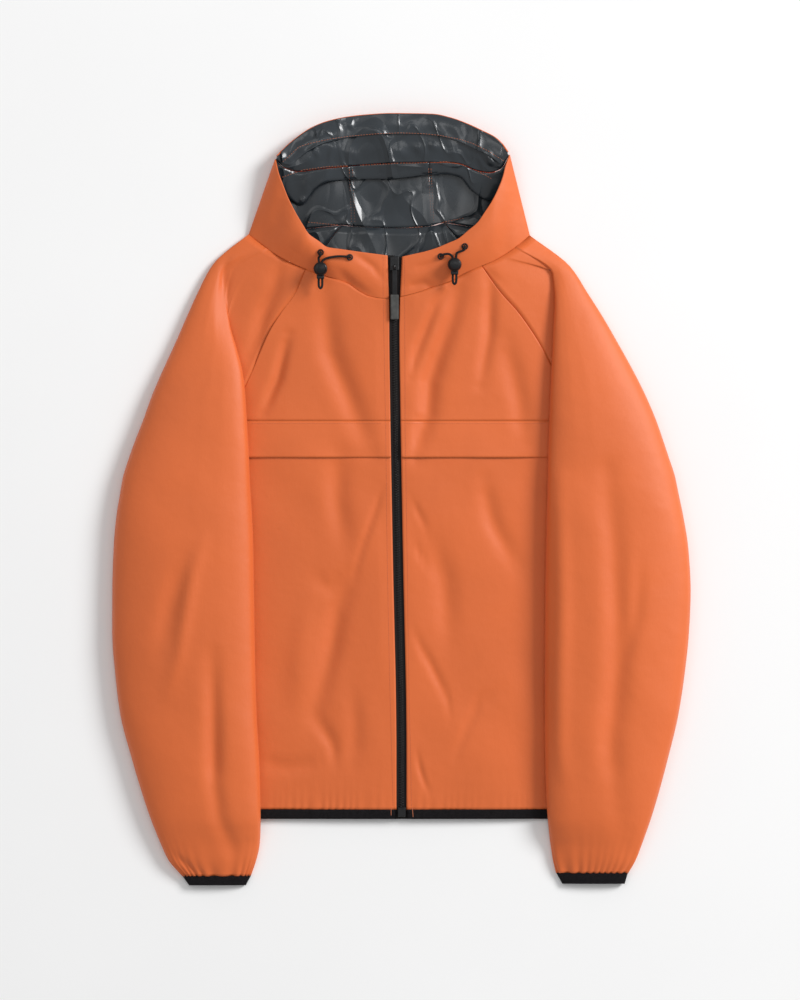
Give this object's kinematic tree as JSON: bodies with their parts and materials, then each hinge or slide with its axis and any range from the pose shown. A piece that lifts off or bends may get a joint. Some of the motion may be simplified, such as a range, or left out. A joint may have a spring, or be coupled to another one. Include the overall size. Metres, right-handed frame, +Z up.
{
  "type": "rain jacket",
  "caption": "Hooded rain jacket of thin coated cloth with raglan sleeves, chest vent flap, full zip and elastic cuffs and hem, laid flat face up with its zip closed.",
  "frame": {"origin": "centre of the jacket's outline, on the floor that it lies on", "axes": "+Y from the hem to the hood, +X to the wearer's left sleeve, +Z up from the floor out of the jacket's front"},
  "size_m": [0.6954, 0.9274, 0.0477],
  "materials": {
    "coated_shell": "burnt orange woven cloth with a matt water-repellent face",
    "coated_inside": "dark grey coated inside, glossy and wrinkled",
    "elastic_binding": "black knitted elastic binding",
    "zip_tape": "black woven zip tape with coil teeth",
    "black_metal": "black lacquered zinc",
    "grey_rubber": "matt dark grey moulded rubber",
    "black_plastic": "black moulded plastic, half gloss",
    "cord_braid": "black braided elastic cord"
  },
  "bodies": {
    "jacket": {"back_body": "coated_shell", "cord_left": "cord_braid", "cord_right": "cord_braid", "cuff_left": "elastic_binding", "cuff_right": "elastic_binding", "eyelet_left_1": "black_metal", "eyelet_left_2": "black_metal", "eyelet_right_1": "black_metal", "eyelet_right_2": "black_metal", "front_lower_left": "coated_shell", "front_lower_right": "coated_shell", "front_upper_left": "coated_shell", "front_upper_right": "coated_shell", "hem_binding": "elastic_binding", "hood_band": "coated_shell", "hood_centre": "coated_shell", "hood_facing": "coated_inside", "hood_side_left": "coated_shell", "hood_side_right": "coated_shell", "sleeve_back_left": "coated_shell", "sleeve_back_right": "coated_shell", "sleeve_front_left": "coated_shell", "sleeve_front_right": "coated_shell", "toggle_body_left": "black_plastic", "toggle_body_right": "black_plastic", "vent_flap_left": "coated_shell", "vent_flap_right": "coated_shell", "zip_bottom_stop": "black_metal", "zip_slider": "black_metal", "zip_tape_left": "zip_tape", "zip_tape_right": "zip_tape"},
    "zip_pull": {"zip_pull_link": "black_metal", "zip_pull_tab": "grey_rubber"},
    "button_left": {"toggle_button_left": "black_plastic"},
    "button_right": {"toggle_button_right": "black_plastic"}
  },
  "joints": [
    {"name": "pull_swing", "type": "hinge", "parent": "jacket", "child": "zip_pull", "pos_m": [-0.0083, 0.279, 0.0285], "axis": [-1, 0, 0], "range_deg": [0, 150]},
    {"name": "button_left_press", "type": "slide", "parent": "jacket", "child": "button_left", "axis": [0, 0, -1], "range_m": [0, 0.0025], "stiffness_N_per_m": 500, "springref_m": -0.004},
    {"name": "button_right_press", "type": "slide", "parent": "jacket", "child": "button_right", "axis": [0, 0, -1], "range_m": [0, 0.0025], "stiffness_N_per_m": 500, "springref_m": -0.004}
  ]
}
